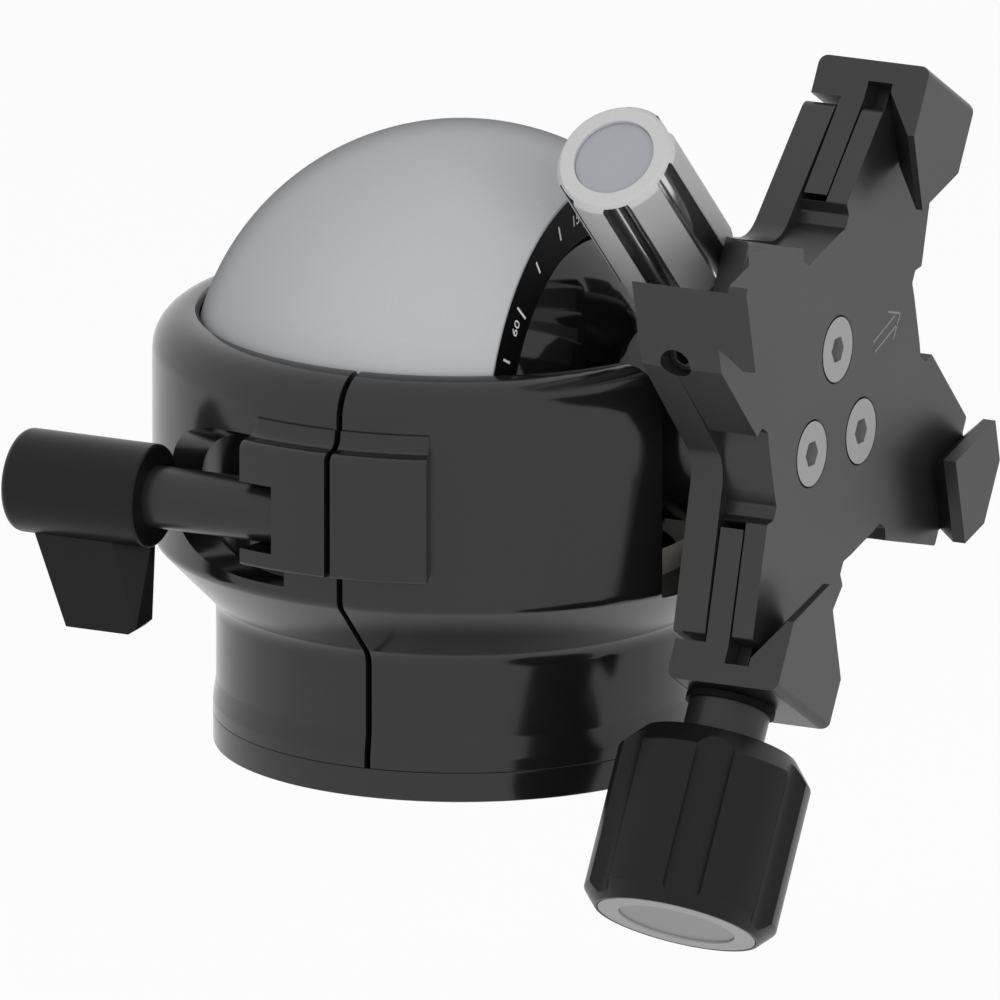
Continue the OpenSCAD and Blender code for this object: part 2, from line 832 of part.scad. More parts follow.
module clamp_back() {
  color([0.13, 0.13, 0.14])
  clamp_frame()
    difference() {
      union() {
        plate_x(back_x, back_t)
          translate([0, clamp_u])
            cross_outline();
        plate_x(back_x, mid_x - back_x)
          translate([0, clamp_u])
            intersection() {
              cross_outline();
              square([fixed_end * 2, mid_l * 2], center = true);
            }
        plate_x(back_x, face_x - back_x)
          translate([0, clamp_u]) {
            block_outline();
            mirror([1, 0])
              block_outline();
          }
        difference() {
          plate_x(face_x, jaw_top_x - face_x)
            translate([0, clamp_u]) {
              lip_outline();
              mirror([1, 0])
                lip_outline();
            }
          channels();
        }
        along_x(spigot_x)
          cylinder(h = back_x - spigot_x + over, r = spigot_r, $fn = fine);
      }
      lead_way();
      cover_holes()
        translate([0, 0, -cover_screw_l])
          cylinder(h = cover_screw_l + over, r = cover_screw_r, $fn = tiny);
      set_way()
        translate([0, 0, -set_d])
          cylinder(h = set_d + over, r = set_r, $fn = tiny);
    }
}

module clamp_cover() {
  color([0.14, 0.14, 0.15])
  clamp_frame()
    difference() {
      plate_x(mid_x, face_x - mid_x)
        translate([0, clamp_u])
          difference() {
            cross_outline();
            block_outline();
            mirror([1, 0])
              block_outline();
          }
      both_arms()
        translate([mid_x - over, -far_r, mid_l])
          cube([thin_x - mid_x + over, far_r * 2, far_r]);
      lead_way();
      set_way()
        translate([0, 0, -set_d])
          cylinder(h = set_d + over, r = set_r, $fn = tiny);
      cover_holes() {
        translate([0, 0, -cover_screw_l])
          cylinder(h = cover_screw_l + over, r = cover_screw_r, $fn = tiny);
        translate([0, 0, -cover_head_h])
          cylinder(h = cover_head_h, r1 = cover_screw_r, r2 = cover_head_r, $fn = tiny);
      }
    }
}

module cover_screws() {
  color([0.7, 0.7, 0.72])
  clamp_frame()
    cover_holes()
      flat_screw(cover_head_r, cover_screw_r, cover_head_h, cover_screw_l, cover_key);
}

module arm_set_screw() {
  color([0.2, 0.2, 0.21])
  clamp_frame()
    set_way()
      difference() {
        translate([0, 0, -set_d])
          cylinder(h = set_d - over * mid_share, r = set_r, $fn = tiny);
        translate([0, 0, -over * 2])
          cylinder(h = over * 2, r = set_r * mid_share, $fn = hex_sides);
      }
}

// One sliding jaw, its arm along +Z from the clamp's centre
module jaw() {
  difference() {
    union() {
      translate([jaw_back_x, -jaw_w, jaw_foot])
        cube([jaw_top_x - jaw_back_x, jaw_w * 2, jaw_end - jaw_foot]);
      translate([tongue_x0, -jaw_w, tongue_in])
        cube([tongue_x1 - tongue_x0, jaw_w * 2, jaw_end - tongue_in - over * 2]);
      translate([lead_x - tongue_mid_t, -tongue_mid_w, tongue_in])
        cube([tongue_mid_t * 2, tongue_mid_w * 2, jaw_end - tongue_in - over * 2]);
      plate_x(jaw_lift, jaw_top_x - jaw_lift)
        polygon([
          [0, dovetail_w],
          [jaw_w, dovetail_w + jaw_w],
          [jaw_w, jaw_end],
          [-jaw_w, jaw_end],
          [-jaw_w, dovetail_w + jaw_w]
        ]);
    }
    for (s = [-1, 1])
      translate([tongue_x1, s * (tongue_mid_w + far_r * mid_share), 0])
        translate([0, -far_r * mid_share, 0])
          cube([jaw_lift - tongue_x1, far_r, jaw_pocket]);
    translate([lead_x + tongue_mid_t, -jaw_w - over, 0])
      cube([jaw_lift - lead_x - tongue_mid_t, jaw_w * 2 + over * 2, jaw_pocket]);
    for (s = [-1, 1])
      translate([0, s * jaw_w, jaw_end])
        rotate([eighth, 0, 0])
          cube([far_r * 2, round_r, round_r], center = true);
    for (x = [jaw_back_x, jaw_top_x])
      translate([x, 0, jaw_end])
        rotate([0, eighth, 0])
          cube([round_r * mid_share, far_r, round_r * mid_share], center = true);
  }
}

module jaw_upper() {
  color([0.13, 0.13, 0.14])
  clamp_frame()
    difference() {
      translate([0, 0, clamp_u])
        jaw();
      channels();
      translate([lead_x, 0, 0])
        cylinder(h = clamp_u + jaw_pocket + over, r = lead_r + run_fit, $fn = tiny);
    }
}

module jaw_lower() {
  color([0.13, 0.13, 0.14])
  clamp_frame()
    difference() {
      translate([0, 0, clamp_u])
        mirror([0, 0, 1])
          jaw();
      channels();
      translate([lead_x, 0, -far_r])
        cylinder(h = far_r, r = root_r + run_fit, $fn = tiny);
    }
}

module lead_screw() {
  root_end = tongue_in - clamp_u - over;
  tip_end = clamp_u + jaw_pocket - over * 4;
  color([0.5, 0.5, 0.52])
  clamp_frame()
    translate([lead_x, 0, 0]) {
      translate([0, 0, -knob_u0])
        cylinder(h = knob_u0 - stem_start - washer_t, r = stem_r, $fn = fine);
      translate([0, 0, -knob_u0 - knob_ch * 2])
        cylinder(h = knob_u0 - root_end + knob_ch * 2, r = root_r, $fn = tiny);
      translate([0, 0, -root_end])
        cylinder(h = root_end + tip_end, r = lead_r, $fn = tiny);
    }
}

module stem_washer() {
  color([0.1, 0.1, 0.1])
  clamp_frame()
    translate([lead_x, 0, -stem_start - washer_t])
      difference() {
        cylinder(h = washer_t - tiny_step() * 5, r = stem_r + over * mid_share, $fn = fine);
        translate([0, 0, -over])
          cylinder(h = washer_t + over * 2, r = root_r, $fn = tiny);
      }
}

module knob() {
  body = knob_u1 - knob_u0;
  shoulder = knob_ch * 1.5;
  color([0.08, 0.08, 0.09])
  clamp_frame()
    translate([lead_x, 0, -knob_u1])
      difference() {
        union() {
          cylinder(h = knob_ch, r1 = knob_r - knob_ch + over / 5, r2 = knob_r, $fn = fine);
          translate([0, 0, knob_ch])
            cylinder(h = body - knob_ch - shoulder, r = knob_r, $fn = fine);
          translate([0, 0, body - shoulder])
            cylinder(h = shoulder, r1 = knob_r, r2 = knob_r - shoulder, $fn = fine);
        }
        for (i = [0 : knob_grooves - 1])
          rotate([0, 0, knob_turn + full_turn * i / knob_grooves])
            translate([knob_groove_off, 0, -over])
              cylinder(h = body + over * 2, r = knob_groove_r, $fn = tiny);
        translate([0, 0, -over])
          cylinder(h = over * 2, r = knob_ring_r, $fn = fine);
        translate([0, 0, body - knob_ch * 2])
          cylinder(h = body, r = root_r, $fn = tiny);
      }
}

module knob_ring() {
  color([0.6, 0.6, 0.6])
  clamp_frame()
    translate([lead_x, 0, -knob_u1])
      difference() {
        cylinder(h = over, r = knob_ring_r - run_fit, $fn = fine);
        translate([0, 0, -over])
          cylinder(h = over * 3, r = knob_disc_r, $fn = fine);
      }
}

module knob_disc() {
  color([0.5, 0.5, 0.5])
  clamp_frame()
    translate([lead_x, 0, -knob_u1 + over / 4])
      cylinder(h = over * 0.75, r = knob_disc_r - run_fit, $fn = fine);
}

base_plate();
base_screws();
housing();
seat_ring();
lever_handle();
lever_screw();
outer_ball();
ball_retainer();
scale_ring();
centring_plunger();
centring_spring();
inner_ball();
lock_collar();
lock_knob();
lock_screw();
lock_disc();
clamp_back();
clamp_cover();
cover_screws();
arm_set_screw();
jaw_upper();
jaw_lower();
lead_screw();
knob();
knob_ring();
knob_disc();
stem_washer();
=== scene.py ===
import bpy
import bmesh
import json
import math
from mathutils import Matrix, Vector


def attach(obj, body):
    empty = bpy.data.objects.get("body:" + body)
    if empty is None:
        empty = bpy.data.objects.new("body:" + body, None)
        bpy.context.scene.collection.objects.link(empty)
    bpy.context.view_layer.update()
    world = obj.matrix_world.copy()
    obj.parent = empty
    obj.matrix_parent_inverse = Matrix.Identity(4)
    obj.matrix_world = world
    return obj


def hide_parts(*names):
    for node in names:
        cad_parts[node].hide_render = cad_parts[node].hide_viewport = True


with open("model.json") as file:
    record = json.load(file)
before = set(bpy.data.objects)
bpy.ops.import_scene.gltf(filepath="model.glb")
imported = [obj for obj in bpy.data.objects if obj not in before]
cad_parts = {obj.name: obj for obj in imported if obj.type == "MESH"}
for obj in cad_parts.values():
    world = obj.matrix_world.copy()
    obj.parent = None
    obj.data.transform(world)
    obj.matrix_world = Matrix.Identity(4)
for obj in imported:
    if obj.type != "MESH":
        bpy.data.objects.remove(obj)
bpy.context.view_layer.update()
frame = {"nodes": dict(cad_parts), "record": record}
nodes = frame["nodes"]
mm = 0.001
print("frame loaded:", len(nodes), "nodes")

# the camera at the photograph's angle, far enough away to be nearly parallel
cameraSet = {
    "azimuth": 26.9,
    "elevation": 15.0,
    "distance": 5.0,
    "lookAt": (0.82, 8.99, 28.52),  # in mm
    "frameWidth": 124.75,           # mm across the picture at the object
    "sensor": 36.0,
}


def placeCamera(cfg):
    az = math.radians(cfg["azimuth"])
    el = math.radians(cfg["elevation"])
    towards = Vector((math.sin(az) * math.cos(el), -math.cos(az) * math.cos(el), math.sin(el)))
    target = Vector(cfg["lookAt"]) * mm
    data = bpy.data.cameras.new("camera")
    data.sensor_width = cfg["sensor"]
    data.lens = cfg["sensor"] * cfg["distance"] / (cfg["frameWidth"] * mm)
    data.clip_start = 0.05
    data.clip_end = 30
    cam = bpy.data.objects.new("camera", data)
    bpy.context.scene.collection.objects.link(cam)
    cam.location = target + towards * cfg["distance"]
    cam.rotation_euler = (-towards).to_track_quat("-Z", "Y").to_euler()
    bpy.context.scene.camera = cam


placeCamera(cameraSet)
bpy.context.scene.view_settings.view_transform = "Standard"


# small helpers for node trees
def linkIn(tree, a, b):
    tree.links.new(a, b)


def addNode(tree, kind, at=(0, 0), **values):
    n = tree.nodes.new(kind)
    n.location = at
    for key, value in values.items():
        setattr(n, key, value)
    return n


def newGroup(name, inputs, outputs):
    g = bpy.data.node_groups.new(name, "ShaderNodeTree")
    for label, kind, value in inputs:
        s = g.interface.new_socket(name=label, in_out="INPUT", socket_type=kind)
        if value is not None:
            s.default_value = value
    for label, kind in outputs:
        g.interface.new_socket(name=label, in_out="OUTPUT", socket_type=kind)
    return g, addNode(g, "NodeGroupInput", (-900, 0)), addNode(g, "NodeGroupOutput", (700, 0))


# fine blasted skin under the anodising: slow mottling and a tight grain
def makeBlastedSkin():
    g, gin, gout = newGroup(
        "blastedSkin",
        [("Scale", "NodeSocketFloat", 4000.0), ("Rough", "NodeSocketFloat", 0.3),
         ("Spread", "NodeSocketFloat", 0.06), ("Bump", "NodeSocketFloat", 0.05)],
        [("Shade", "NodeSocketFloat"), ("Rough", "NodeSocketFloat"), ("Normal", "NodeSocketVector")])
    tc = addNode(g, "ShaderNodeTexCoord", (-900, -300))
    grain = addNode(g, "ShaderNodeTexNoise", (-500, -200))
    grain.inputs["Detail"].default_value = 2
    linkIn(g, tc.outputs["Object"], grain.inputs["Vector"])
    linkIn(g, gin.outputs["Scale"], grain.inputs["Scale"])
    cloud = addNode(g, "ShaderNodeTexNoise", (-500, 200))
    cloud.inputs["Scale"].default_value = 60
    cloud.inputs["Detail"].default_value = 3
    linkIn(g, tc.outputs["Object"], cloud.inputs["Vector"])
    centred = addNode(g, "ShaderNodeMath", (-250, 200), operation="SUBTRACT")
    centred.inputs[1].default_value = 0.5
    linkIn(g, cloud.outputs["Fac"], centred.inputs[0])
    spread = addNode(g, "ShaderNodeMath", (0, 200), operation="MULTIPLY_ADD")
    linkIn(g, centred.outputs[0], spread.inputs[0])
    linkIn(g, gin.outputs["Spread"], spread.inputs[1])
    linkIn(g, gin.outputs["Rough"], spread.inputs[2])
    linkIn(g, spread.outputs[0], gout.inputs["Rough"])
    linkIn(g, grain.outputs["Fac"], gout.inputs["Shade"])
    bump = addNode(g, "ShaderNodeBump", (200, -200))
    bump.inputs["Distance"].default_value = 0.0001
    linkIn(g, grain.outputs["Fac"], bump.inputs["Height"])
    linkIn(g, gin.outputs["Bump"], bump.inputs["Strength"])
    linkIn(g, bump.outputs["Normal"], gout.inputs["Normal"])
    return g


# fine turning lines about one axis of the object's frame
def makeTurnedLines():
    g, gin, gout = newGroup(
        "turnedLines",
        [("Vector", "NodeSocketVector", None), ("Scale", "NodeSocketFloat", 900.0),
         ("Rough", "NodeSocketFloat", 0.3), ("Spread", "NodeSocketFloat", 0.1),
         ("Bump", "NodeSocketFloat", 0.05)],
        [("Shade", "NodeSocketFloat"), ("Rough", "NodeSocketFloat"), ("Normal", "NodeSocketVector")])
    lines = addNode(g, "ShaderNodeTexWave", (-500, 0), wave_type="RINGS", rings_direction="Z")
    lines.inputs["Distortion"].default_value = 0.6
    lines.inputs["Detail"].default_value = 3
    linkIn(g, gin.outputs["Vector"], lines.inputs["Vector"])
    linkIn(g, gin.outputs["Scale"], lines.inputs["Scale"])
    linkIn(g, lines.outputs["Fac"], gout.inputs["Shade"])
    spread = addNode(g, "ShaderNodeMath", (0, 200), operation="MULTIPLY_ADD")
    linkIn(g, lines.outputs["Fac"], spread.inputs[0])
    linkIn(g, gin.outputs["Spread"], spread.inputs[1])
    linkIn(g, gin.outputs["Rough"], spread.inputs[2])
    linkIn(g, spread.outputs[0], gout.inputs["Rough"])
    bump = addNode(g, "ShaderNodeBump", (200, -200))
    bump.inputs["Distance"].default_value = 0.00005
    linkIn(g, lines.outputs["Fac"], bump.inputs["Height"])
    linkIn(g, gin.outputs["Bump"], bump.inputs["Strength"])
    linkIn(g, bump.outputs["Normal"], gout.inputs["Normal"])
    return g


blastedSkin = makeBlastedSkin()
turnedLines = makeTurnedLines()


# one finish: a base tone that drifts a little with the grain, over the shader's own constants
def finish(name, tone, drift=0.12, rough=0.3, spread=0.06, bump=0.05, scale=4000.0,
           metal=0.0, spec=0.5, group=None, turn=(0, 0, 0), centre=(0, 0, 0)):
    m = bpy.data.materials.new(name)
    m.use_nodes = True
    t = m.node_tree
    shader = t.nodes["Principled BSDF"]
    shader.inputs["Metallic"].default_value = metal
    shader.inputs["Specular IOR Level"].default_value = spec
    skin = addNode(t, "ShaderNodeGroup", (-500, 0))
    skin.node_tree = group or blastedSkin
    skin.inputs["Scale"].default_value = scale
    skin.inputs["Rough"].default_value = rough
    skin.inputs["Spread"].default_value = spread
    skin.inputs["Bump"].default_value = bump
    if group:
        tc = addNode(t, "ShaderNodeTexCoord", (-1000, 0))
        place = addNode(t, "ShaderNodeMapping", (-800, 0), vector_type="TEXTURE")
        place.inputs["Location"].default_value = centre
        place.inputs["Rotation"].default_value = turn
        linkIn(t, tc.outputs["Object"], place.inputs["Vector"])
        linkIn(t, place.outputs["Vector"], skin.inputs["Vector"])
    ramp = addNode(t, "ShaderNodeValToRGB", (-250, 200))
    low = [c * (1 - drift) for c in tone] + [1]
    high = [min(1, c * (1 + drift)) for c in tone] + [1]
    ramp.color_ramp.elements[0].position = 0.3
    ramp.color_ramp.elements[1].position = 0.7
    ramp.color_ramp.elements[0].color = low
    ramp.color_ramp.elements[1].color = high
    linkIn(t, skin.outputs["Shade"], ramp.inputs["Fac"])
    linkIn(t, ramp.outputs["Color"], shader.inputs["Base Color"])
    linkIn(t, skin.outputs["Rough"], shader.inputs["Roughness"])
    linkIn(t, skin.outputs["Normal"], shader.inputs["Normal"])
    return m


ballZ = 44.8  # the height of the ball's centre, in mm
blackAnodised = finish("blackAnodised", (0.006, 0.006, 0.0065), rough=0.16, spread=0.05, bump=0.02)
jawAnodised = finish("jawAnodised", (0.012, 0.012, 0.0125), rough=0.33, spread=0.06, bump=0.06)
plateAnodised = finish("plateAnodised", (0.013, 0.013, 0.0135), rough=0.38, spread=0.06, bump=0.06)
blackPlastic = finish("blackPlastic", (0.004, 0.004, 0.004), rough=0.34, spec=0.22, bump=0.06, scale=2500)
glossBlack = finish("glossBlack", (0.004, 0.004, 0.004), rough=0.08, spread=0.02, bump=0.0)
mattBlack = finish("mattBlack", (0.003, 0.003, 0.003), rough=0.6, spec=0.1, bump=0.02)
ballSilver = finish("ballSilver", (0.335, 0.34, 0.35), drift=0.02, rough=0.6, spread=0.04,
                    bump=0.02, spec=0.3)
knobSilver = finish("knobSilver", (0.40, 0.40, 0.405), drift=0.03, rough=0.5, bump=0.02, spec=0.3)
grooveSilver = finish("grooveSilver", (0.62, 0.62, 0.625), drift=0.03, rough=0.12, bump=0.01, metal=0.97)
discSilver = finish("discSilver", (0.30, 0.30, 0.33), drift=0.05, rough=0.35, metal=0.5,
                    group=turnedLines, turn=(math.radians(45.8), 0, 0), centre=(0, 0, ballZ * mm))
endGrey = finish("endGrey", (0.25, 0.25, 0.25), drift=0.05, rough=0.4, metal=0.2)
endGreyDark = finish("endGreyDark", (0.175, 0.175, 0.175), drift=0.05, rough=0.4, metal=0.2)
screwSteel = finish("screwSteel", (0.27, 0.27, 0.27), drift=0.05, rough=0.32, metal=0.5)
darkSteel = finish("darkSteel", (0.012, 0.012, 0.012), rough=0.3, metal=0.2)
brassTone = finish("brassTone", (0.55, 0.42, 0.18), drift=0.05, rough=0.3, metal=0.9)
seatPlastic = finish("seatPlastic", (0.62, 0.60, 0.55), drift=0.04, rough=0.45)


# painted dark reflection: the ball's colour is painted darker towards its outline, standing in for dark
# surroundings reflected at grazing angles
def paintedOutlineReflection(m, tone, start):
    t = m.node_tree
    shader = t.nodes["Principled BSDF"]
    before = shader.inputs["Base Color"].links[0].from_socket
    facing = addNode(t, "ShaderNodeLayerWeight", (-500, 500))
    facing.inputs["Blend"].default_value = 0.5
    span = addNode(t, "ShaderNodeMapRange", (-250, 500), interpolation_type="SMOOTHSTEP")
    span.inputs["From Min"].default_value = start
    span.inputs["From Max"].default_value = 1.0
    mix = addNode(t, "ShaderNodeMix", (0, 400), data_type="RGBA")
    linkIn(t, facing.outputs["Facing"], span.inputs["Value"])
    linkIn(t, span.outputs["Result"], mix.inputs["Factor"])
    linkIn(t, before, mix.inputs[6])
    mix.inputs[7].default_value = tone + (1,)
    linkIn(t, mix.outputs[2], shader.inputs["Base Color"])


# painted dark reflection along the ball's outline
paintedOutlineReflection(ballSilver, (0.11, 0.11, 0.115), 0.6)

finishOf = {
    "base_plate": blackAnodised, "base_screws": screwSteel, "housing": blackAnodised,
    "seat_ring": seatPlastic, "lever_handle": blackPlastic, "lever_screw": darkSteel,
    "outer_ball": ballSilver, "ball_retainer": endGreyDark, "scale_ring": mattBlack,
    "centring_plunger": brassTone, "centring_spring": screwSteel, "inner_ball": glossBlack,
    "lock_collar": blackAnodised, "lock_knob": knobSilver, "lock_screw": screwSteel,
    "lock_disc": discSilver, "clamp_back": plateAnodised, "clamp_cover": plateAnodised,
    "cover_screws": screwSteel, "arm_set_screw": darkSteel, "jaw_upper": jawAnodised,
    "jaw_lower": jawAnodised, "lead_screw": darkSteel, "knob": blackPlastic,
    "knob_ring": endGrey, "knob_disc": endGreyDark, "stem_washer": mattBlack,
}
bodyOf = {n: b for b, group in frame["record"]["behaviour"]["bodies"].items() for n in group}

for name, node in nodes.items():
    node.data.materials.clear()
    node.data.materials.append(finishOf[name])
print("finishes made")


def rotate(bm, angle, axis):
    bmesh.ops.rotate(bm, verts=bm.verts, cent=(0, 0, 0), matrix=Matrix.Rotation(math.radians(angle), 3, axis))


# moves it by a step in mm
def move(bm, x, y, z):
    bmesh.ops.translate(bm, vec=(x * mm, y * mm, z * mm), verts=bm.verts)


def asObject(bm, name):
    me = bpy.data.meshes.new(name)
    bm.to_mesh(me)
    bm.free()
    obj = bpy.data.objects.new(name, me)
    bpy.context.scene.collection.objects.link(obj)
    return obj


# makes the finished piece, with its finish and its body, and hides the nodes that it stands for
def settle(bm, name, nodeName, smooth=35, also=()):
    for f in bm.faces:
        f.smooth = True
    for e in bm.edges:
        e.smooth = not (len(e.link_faces) == 2 and e.calc_face_angle(0) > math.radians(smooth))
    piece = asObject(bm, name)
    even = piece.modifiers.new("even", "WEIGHTED_NORMAL")
    even.keep_sharp = True
    even.weight = 90
    piece.data.materials.append(finishOf[nodeName])
    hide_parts(nodeName, *also)
    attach(piece, bodyOf[nodeName])
    return piece


# a closed outline with its corners rounded, each point being (x, y) or (x, y, radius)
def roundedPath(points, steps=6):
    out = []
    n = len(points)
    for i, p in enumerate(points):
        r = p[2] if len(p) > 2 else 0
        here = Vector(p[:2])
        if not r:
            out.append(here)
            continue
        back = (Vector(points[i - 1][:2]) - here).normalized()
        on = (Vector(points[(i + 1) % n][:2]) - here).normalized()
        half = back.angle(on) / 2
        reach = r / math.tan(half)
        centre = here + (back + on).normalized() * (r / math.sin(half))
        a = here + back * reach - centre
        b = here + on * reach - centre
        turn = a.angle_signed(b)
        for k in range(steps + 1):
            spin = Matrix.Rotation(-turn * k / steps, 2)
            out.append(centre + spin @ a)
    return out


def arcPath(centre, radius, start, end, steps):
    angles = [math.radians(start + (end - start) * k / steps) for k in range(steps + 1)]
    return [Vector((centre[0] + radius * math.cos(a), centre[1] + radius * math.sin(a))) for a in angles]


# turns a closed outline, given as (radius, height) in mm, about Z
def lathe(path, steps=128, angle=360, start=0):
    bm = bmesh.new()
    ring = [bm.verts.new((p[0] * mm, 0, p[1] * mm)) for p in path]
    pairs = zip(ring, ring[1:] + ring[:1])
    geom = ring + [bm.edges.new(pair) for pair in pairs if pair[0].co.x != 0 or pair[1].co.x != 0]
    if angle < 360:
        geom.append(bm.faces.new(ring))
    rotate(bm, start, "Z")
    bmesh.ops.spin(bm, geom=geom, cent=(0, 0, 0), axis=(0, 0, 1), angle=math.radians(angle),
                   steps=steps, use_merge=angle == 360, use_duplicate=False)
    bmesh.ops.remove_doubles(bm, verts=bm.verts, dist=0.002 * mm)
    bmesh.ops.recalc_face_normals(bm, faces=bm.faces)
    return bm


# cuts or joins plain helper solids and gives the result as a bmesh
def combine(base, others):
    main = asObject(base, "work")
    helpers = []
    for bm, kind in others:
        tool = asObject(bm, "tool")
        helpers.append(tool)
        mod = main.modifiers.new("cut", "BOOLEAN")
        mod.object = tool
        mod.operation = kind
        mod.solver = "EXACT"
    bpy.context.view_layer.update()
    done = main.evaluated_get(bpy.context.evaluated_depsgraph_get())
    me = bpy.data.meshes.new_from_object(done)
    bm = bmesh.new()
    bm.from_mesh(me)
    bpy.data.meshes.remove(me)
    for obj in [main] + helpers:
        old = obj.data
        bpy.data.objects.remove(obj)
        bpy.data.meshes.remove(old)
    bmesh.ops.remove_doubles(bm, verts=bm.verts, dist=0.003 * mm)
    return bm


def block(low, high):
    bm = bmesh.new()
    bmesh.ops.create_cube(bm, size=1)
    size = [(b - a) * mm for a, b in zip(low, high)]
    mid = [(a + b) / 2 * mm for a, b in zip(low, high)]
    bmesh.ops.scale(bm, vec=size, verts=bm.verts)
    bmesh.ops.translate(bm, vec=mid, verts=bm.verts)
    return bm


# a round bar from one point to another, in mm
def bar(start, end, radius, sides=64):
    a, b = Vector(start) * mm, Vector(end) * mm
    bm = bmesh.new()
    bmesh.ops.create_cone(bm, cap_ends=True, segments=sides, radius1=radius * mm,
                          radius2=radius * mm, depth=(b - a).length)
    turn = (b - a).to_track_quat("Z", "Y").to_matrix()
    bmesh.ops.rotate(bm, verts=bm.verts, cent=(0, 0, 0), matrix=turn)
    bmesh.ops.translate(bm, vec=(a + b) / 2, verts=bm.verts)
    return bm


def bevel(bm, edges, width, segments):
    bmesh.ops.bevel(bm, geom=edges, offset=width * mm, offset_type="OFFSET", segments=segments,
                    profile=0.5, affect="EDGES", clamp_overlap=True, material=-1)


def bevelSharp(bm, width, segments=2, sharp=28):
    edges = [e for e in bm.edges
             if len(e.link_faces) == 2 and e.calc_face_angle(0) > math.radians(sharp)]
    bevel(bm, edges, width, segments)


# a cleaned copy of a machined node, its sharp edges broken as a cutter leaves them
def brokenEdges(nodeName, width):
    bm = bmesh.new()
    bm.from_mesh(nodes[nodeName].data)
    bmesh.ops.remove_doubles(bm, verts=bm.verts, dist=0.004 * mm)
    bmesh.ops.dissolve_limit(bm, angle_limit=math.radians(1), verts=bm.verts, edges=bm.edges)
    bevelSharp(bm, width)
    settle(bm, nodeName + "_piece", nodeName)


housingSet = {
    "footR": 30.6, "flangeR": 31, "footZ": 3.8, "sillZ": 5.4, "topR": 38.49,
    "flareLow": 18.3, "flareHigh": 26.4, "concave": 3.2, "convex": 2.0, "rimZ": 55.3, "rimRound": 5.0,
    "seatR": 34.14, "seatLow": 29, "seatHigh": 54.5, "ringR": 30.2, "ringZ": 24, "boreR": 27.6,
    "recessR": 20.6, "recessZ": 7.3,
    "notch": 14.9, "notchZ": 25.5, "slitX": 2.6, "slitW": 0.8,
    "padR": 41.9, "padStart": -104, "padEnd": -69, "padLow": 30.8, "padHigh": 46.7,
    "leverY": -37.6, "leverZ": 37.2, "reliefR": 9.3, "reliefFloor": 35.7, "reliefEnd": -5.3, "slotHalf": 4.3,
    "screwR": 2.56,
}


def makeHousing(cfg):
    outer = roundedPath([
        (cfg["recessR"], cfg["recessZ"]), (cfg["recessR"], cfg["footZ"]),
        (cfg["flangeR"], cfg["footZ"], 0.12), (cfg["flangeR"], cfg["sillZ"], 2.0),
        (cfg["footR"], cfg["sillZ"] + 2.8, 2.0),
        (cfg["footR"], cfg["flareLow"], cfg["concave"]), (cfg["topR"], cfg["flareHigh"], cfg["convex"]),
        (cfg["topR"], cfg["rimZ"], cfg["rimRound"]), (33.2, cfg["rimZ"], 0.2), (32.62, 54.66, 0.1)], 8)
    low = math.degrees(math.asin((cfg["seatLow"] - ballZ) / cfg["seatR"]))
    high = math.degrees(math.asin((cfg["seatHigh"] - ballZ) / cfg["seatR"]))
    inner = arcPath((0, ballZ), cfg["seatR"], high, low, 20)
    under = [(cfg["ringR"], cfg["seatLow"]), (cfg["ringR"], cfg["ringZ"]),
             (cfg["boreR"], cfg["ringZ"]), (cfg["boreR"], cfg["recessZ"])]
    bm = lathe(outer + inner + [Vector(p) for p in under], 160)
    pad = lathe(roundedPath([
        (36.0, 49.0), (38.9, 49.0), (39.2, cfg["padHigh"], 1.6), (cfg["padR"], cfg["padHigh"], 1.2),
        (cfg["padR"], cfg["padLow"], 0.45), (36.0, cfg["padLow"])], 5),
        28, cfg["padEnd"] - cfg["padStart"], cfg["padStart"])
    endRound = [e for e in pad.edges if len(e.link_faces) == 2 and e.calc_face_angle(0) > 0.5
                and all(math.degrees(math.atan2(v.co.y, v.co.x)) > cfg["padEnd"] - 0.2 for v in e.verts)
                and max(v.co.xy.length for v in e.verts) > 41 * mm]
    bevel(pad, endRound, 0.9, 4)
    y, z = cfg["leverY"], cfg["leverZ"]
    floor = bar((0, 0, 20), (0, 0, 60), cfg["reliefFloor"], 160)
    relief = combine(bar((-44, y, z), (cfg["reliefEnd"], y, z), cfg["reliefR"], 96), [(floor, "DIFFERENCE")])
    notch = block((5, -cfg["notch"], cfg["notchZ"]), (60, cfg["notch"], 70))
    corner = [e for e in notch.edges if all(abs(v.co.z - cfg["notchZ"] * mm) < 1e-6 for v in e.verts)
              and all(abs(abs(v.co.y) - cfg["notch"] * mm) < 1e-6 for v in e.verts)]
    bevel(notch, corner, 1.5, 5)
    slit = block((cfg["slitX"] - cfg["slitW"] / 2, -60, 2), (cfg["slitX"] + cfg["slitW"] / 2, -15, 70))
    slot = block((-14.2, -60, z - cfg["slotHalf"]), (cfg["reliefEnd"], -33.5, z + cfg["slotHalf"]))
    bore = bar((-6, y, z), (9.6, y, z), cfg["screwR"])
    bm = combine(bm, [(relief, "DIFFERENCE"), (pad, "UNION")]
                 + [(cut, "DIFFERENCE") for cut in (notch, slit, slot, bore)])
    bmesh.ops.dissolve_limit(bm, angle_limit=math.radians(0.3), verts=bm.verts, edges=bm.edges)
    bevelSharp(bm, 0.22, 2, 35)
    settle(bm, "housing_piece", "housing")


ballSet = {"r": 33.84, "mouth": 17.9, "lip": 28.3, "lipRound": 0.32,
           "scaleX": 16.1, "bore": 28.1, "boreX": 3.0, "innerR": 27.9}


# swings a lathe made about Z over to the neck's axis, +X, and up to the ball's centre
def alongNeck(bm):
    rotate(bm, 90, "Y")
    move(bm, 0, 0, ballZ)
    return bm


